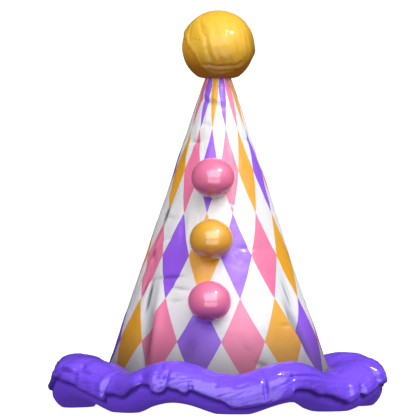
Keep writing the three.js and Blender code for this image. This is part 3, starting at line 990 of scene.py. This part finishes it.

# %% [markdown]
# Satin
# Satin is smooth along its floats, so it takes wide soft lights from the room and small sharp ones
# from a lamp. A rough base and a smooth, thin coat give the two. The colour is painted deeper in
# the folds and on the lower cloth, as painted shade, and the lower cloth has hardly any coat. The
# painted shade under the ruffle's edge and on the ball's low and right sides is a grey that the
# colour is multiplied by.

# %% Satin of the ruffle and of the ball
def make_satin(name, body, deep, pale, shade, creases, sheen, gloss):
    """Satin from four colours: its own, a deeper one for a thread's random tone and for the painted
    shade in folds and on the lower cloth, a pale one that shows on stretched patches, and a grey
    that the colour is multiplied by as painted shade. Sheen is the rough base's shine, and gloss the
    coat's share on the upper cloth."""
    material, tree, shader = new_material(name)
    place = add(tree, "ShaderNodeTexCoord").outputs["Object"]
    cloth_map = add(tree, "ShaderNodeUVMap", {"uv_map": "cloth"}).outputs["UV"]
    weave = place_group(tree, weave_group, Map=cloth_map, Threads=1800.0)
    crease = place_group(tree, crease_group, Place=place, Fineness=creases)
    patchy = ramp(tree, crease["Patches"], 0.35, 0.7)
    stretched = blend(tree, math(tree, "MULTIPLY", patchy, 0.25), body, pale)
    threaded = blend(tree, math(tree, "MULTIPLY", weave["Shade"], 0.06), stretched, deep)
    # Painted shade: the folds and the lower cloth are mixed towards the deeper colour, and the
    # shaded places are multiplied by the grey.
    fold_shaded = blend(tree, math(tree, "MULTIPLY", mask_of(tree, "hollow_shade"), 0.5), threaded, deep)
    lower = math(tree, "SUBTRACT", 1.0, mask_of(tree, "upper_cloth"))
    lower_cloth_shaded = blend(tree, math(tree, "MULTIPLY", lower, 0.6), fold_shaded, deep)
    shaded = blend(tree, mask_of(tree, "shade"), lower_cloth_shaded, shade, mode="MULTIPLY")
    tree.links.new(shaded, shader.inputs["Base Color"])
    dull = math(tree, "ADD", 0.5, math(tree, "MULTIPLY", patchy, 0.1))
    duller = math(tree, "ADD", dull, math(tree, "MULTIPLY", lower, 0.3))
    tree.links.new(duller, shader.inputs["Roughness"])
    coated = math(tree, "SUBTRACT", gloss, math(tree, "MULTIPLY", lower, gloss - 0.02))
    tree.links.new(coated, shader.inputs["Coat Weight"])
    shader.inputs["Coat Roughness"].default_value = 0.1
    shader.inputs["Specular IOR Level"].default_value = sheen
    bumps = add(tree, "ShaderNodeBump", Height=weave["Height"], Strength=0.1, Distance=0.0002)
    creased = add(
        tree, "ShaderNodeBump", Height=crease["Height"], Strength=0.5, Distance=0.0018,
        Normal=bumps.outputs["Normal"],
    )
    tree.links.new(creased.outputs["Normal"], shader.inputs["Normal"])
    return material


# Of each satin's four colours, the second is deeper, for a thread's random tone and for painted
# shade in folds and on the lower cloth, and the fourth is the grey of its painted shade.
violet_satin = make_satin(
    "violet_satin", colour(126, 80, 251), colour(122, 76, 246), colour(130, 88, 255),
    colour(184, 180, 190), 110.0, 0.12, 0.8,
)
gold_satin = make_satin(
    "gold_satin", colour(252, 196, 54), colour(246, 168, 6), colour(255, 214, 92),
    colour(168, 146, 62), 70.0, 0.2, 0.4,
)

# %% [markdown]
# Glossy plastic
# Moulded plastic shines twice: softly from its rough coloured body, and sharply from its smooth
# surface, which is a coat here. A faint unevenness, called orange peel, bends the edges of
# reflections, and a few patches are duller. The lower part of each ball is darkened by painted
# shade.

# %% Gloss of the front balls
# Painted shade: the grey that the balls' colour is multiplied by towards their bottoms.
UNDER_SHADE = colour(150, 128, 140)


def make_gloss(name, body, deep):
    """Glossy plastic: a colour that varies a little through the wall, painted shade towards the
    bottom, a fine waviness and a coat.
    """
    material, tree, shader = new_material(name)
    place = add(tree, "ShaderNodeTexCoord").outputs["Object"]
    cloudy = add(tree, "ShaderNodeTexNoise", Vector=place, Scale=70.0, Detail=2.0).outputs["Fac"]
    share = math(tree, "MULTIPLY", ramp(tree, cloudy, 0.35, 0.7), 0.3)
    clouded = blend(tree, share, body, deep)
    shaded = blend(tree, mask_of(tree, "underside_shade"), clouded, UNDER_SHADE, mode="MULTIPLY")
    tree.links.new(shaded, shader.inputs["Base Color"])
    handled = math(tree, "ADD", 0.5, math(tree, "MULTIPLY", ramp(tree, cloudy, 0.5, 0.75), 0.08))
    tree.links.new(handled, shader.inputs["Roughness"])
    shader.inputs["Specular IOR Level"].default_value = 0.6
    shader.inputs["Coat Weight"].default_value = 1.0
    shader.inputs["Coat Roughness"].default_value = 0.06
    shader.inputs["Coat IOR"].default_value = 1.6
    peel = add(tree, "ShaderNodeTexNoise", Vector=place, Scale=420.0, Detail=1.0).outputs["Fac"]
    bump = add(tree, "ShaderNodeBump", Height=peel, Strength=0.05, Distance=0.0003)
    tree.links.new(bump.outputs["Normal"], shader.inputs["Normal"])
    return material


pink_gloss = make_gloss("pink_gloss", colour(253, 124, 172), colour(243, 108, 158))
gold_gloss = make_gloss("gold_gloss", colour(251, 182, 34), colour(240, 164, 16))

dress(cone_cloth, "cone_crown", "harlequin_cloth", printed_cloth)
dress(ruffle_satin, "ruffle_roll", "violet_satin", violet_satin)
dress(top_ball_satin, "top_ball", "gold_satin", gold_satin)
dress(front_balls[0], "pink_ball_lower", "pink_gloss", pink_gloss)
dress(front_balls[1], "gold_ball_middle", "gold_gloss", gold_gloss)
dress(front_balls[2], "pink_ball_upper", "pink_gloss", pink_gloss)

# %% [markdown]
# Floor, light and camera
# The hat stands on a plain white floor in white surroundings. Light reaches the cloth from three
# large panels: the key from high on the right, a fill from the front left and one overhead. Three
# other lights show only in reflections: a small one near the key for sharp glints, and two panels
# with a dark bar between them, like a window. The camera has a long lens, a little right of the
# front.

# %% Floor and surroundings
FLOOR_HALF = 6.0
AMBIENT = 0.32
SEEN_EXTRA = 0.9
MIRRORED_LESS = -0.28


def make_floor():
    """A white square under the hat. It shows to the camera alone and sends the hat no light, and
    it is clear from below."""
    half = FLOOR_HALF
    corners = [(-half, -half, 0), (half, -half, 0), (half, half, 0), (-half, half, 0)]
    mesh = bpy.data.meshes.new("floor")
    mesh.from_pydata(corners, [], [(0, 1, 2, 3)])
    floor = bpy.data.objects.new("floor", mesh)
    bpy.context.scene.collection.objects.link(floor)
    material, tree, shader = new_material("floor_white")
    shader.inputs["Base Color"].default_value = (0.5, 0.5, 0.5, 1)
    shader.inputs["Roughness"].default_value = 0.9
    shader.inputs["Specular IOR Level"].default_value = 0.0
    rays = add(tree, "ShaderNodeLightPath").outputs
    shader.inputs["Emission Color"].default_value = (1, 1, 1, 1)
    tree.links.new(rays["Is Camera Ray"], shader.inputs["Emission Strength"])
    clear = add(tree, "ShaderNodeBsdfTransparent")
    below = add(tree, "ShaderNodeNewGeometry").outputs["Backfacing"]
    mixed = add(
        tree, "ShaderNodeMixShader", n0=below, n1=shader.outputs[0], n2=clear.outputs[0]
    )
    tree.links.new(mixed.outputs[0], tree.nodes["Material Output"].inputs["Surface"])
    mesh.materials.append(material)
    floor.visible_diffuse = False
    floor.visible_glossy = False


def make_surroundings():
    """White to the camera, a dimmer grey as light, and darker still in reflections."""
    world = bpy.data.worlds.new("studio")
    world.use_nodes = True
    tree = world.node_tree
    rays = add(tree, "ShaderNodeLightPath").outputs
    seen = math(tree, "MULTIPLY", rays["Is Camera Ray"], SEEN_EXTRA)
    mirrored = math(tree, "MULTIPLY", rays["Is Glossy Ray"], MIRRORED_LESS)
    strength = math(tree, "ADD", AMBIENT, math(tree, "ADD", seen, mirrored))
    background = tree.nodes["Background"]
    background.inputs["Color"].default_value = (1, 1, 1, 1)
    tree.links.new(strength, background.inputs["Strength"])
    bpy.context.scene.world = world


make_floor()
make_surroundings()
bpy.context.scene.view_settings.view_transform = "Standard"

# %% Camera
CAMERA_AZIMUTH = 4.7
CAMERA_ELEVATION = 0.8
CAMERA_DISTANCE = 4.0
PIXELS_PER_DISTANCE = 5000.0
IMAGE_WIDTH = 420
SENSOR_WIDTH = 36.0
AIM_HEIGHT = 0.157
AIM_LEFT = 0.0064


def direction(azimuth, elevation):
    """The way from the hat towards an azimuth and an elevation, as a unit vector."""
    a, e = np.radians(azimuth), np.radians(elevation)
    return Vector((np.sin(a) * np.cos(e), -np.cos(a) * np.cos(e), np.sin(e)))


camera_data = bpy.data.cameras.new("camera")
camera_data.sensor_width = SENSOR_WIDTH
camera_data.lens = SENSOR_WIDTH * PIXELS_PER_DISTANCE / IMAGE_WIDTH
camera_data.clip_end = 100
camera = bpy.data.objects.new("camera", camera_data)
bpy.context.scene.collection.objects.link(camera)
back = direction(CAMERA_AZIMUTH, CAMERA_ELEVATION)
aim = Vector((0, 0, AIM_HEIGHT)) - direction(CAMERA_AZIMUTH + 90, 0) * AIM_LEFT
camera.location = aim + back * CAMERA_DISTANCE
camera.rotation_mode = "QUATERNION"
camera.rotation_quaternion = (-back).to_track_quat("-Z", "Y")
bpy.context.scene.camera = camera
print("Camera lens", round(camera_data.lens, 2), "mm")

# %% Lights
LIGHT_TARGET = Vector((0, 0, 0.14))


def add_light(name, azimuth, elevation, distance, width, height, power, mirrored):
    """An area light round the hat, at an azimuth seen from the camera. It either lights the cloth
    and doesn't show in reflections, or is mirrored and shows only there."""
    data = bpy.data.lights.new(name, "AREA")
    data.shape = "RECTANGLE"
    data.size, data.size_y, data.energy = width, height, power
    light = bpy.data.objects.new(name, data)
    bpy.context.scene.collection.objects.link(light)
    way = direction(CAMERA_AZIMUTH + azimuth, elevation)
    light.location = LIGHT_TARGET + way * distance
    light.rotation_mode = "QUATERNION"
    light.rotation_quaternion = way.to_track_quat("Z", "Y")
    light.visible_camera = False
    light.visible_diffuse = not mirrored
    light.visible_glossy = mirrored


# A light is its name, azimuth, elevation, distance, width, height, power and whether mirrored.
LIGHTS = [
    ("key", 47, 47, 1.5, 1.7, 1.7, 22, False),
    ("front", -30, 16, 1.6, 2.0, 1.5, 9, False),
    ("overhead", 10, 80, 1.6, 1.4, 1.4, 5, False),
    ("glint", 47, 47, 1.3, 0.16, 0.16, 14, True),
    ("window_upper", 6.5, 27, 1.6, 2.04, 1.36, 34, True),
    ("window_lower", 6.5, -17.5, 1.6, 2.04, 0.78, 15, True),
]
for light_row in LIGHTS:
    add_light(*light_row)
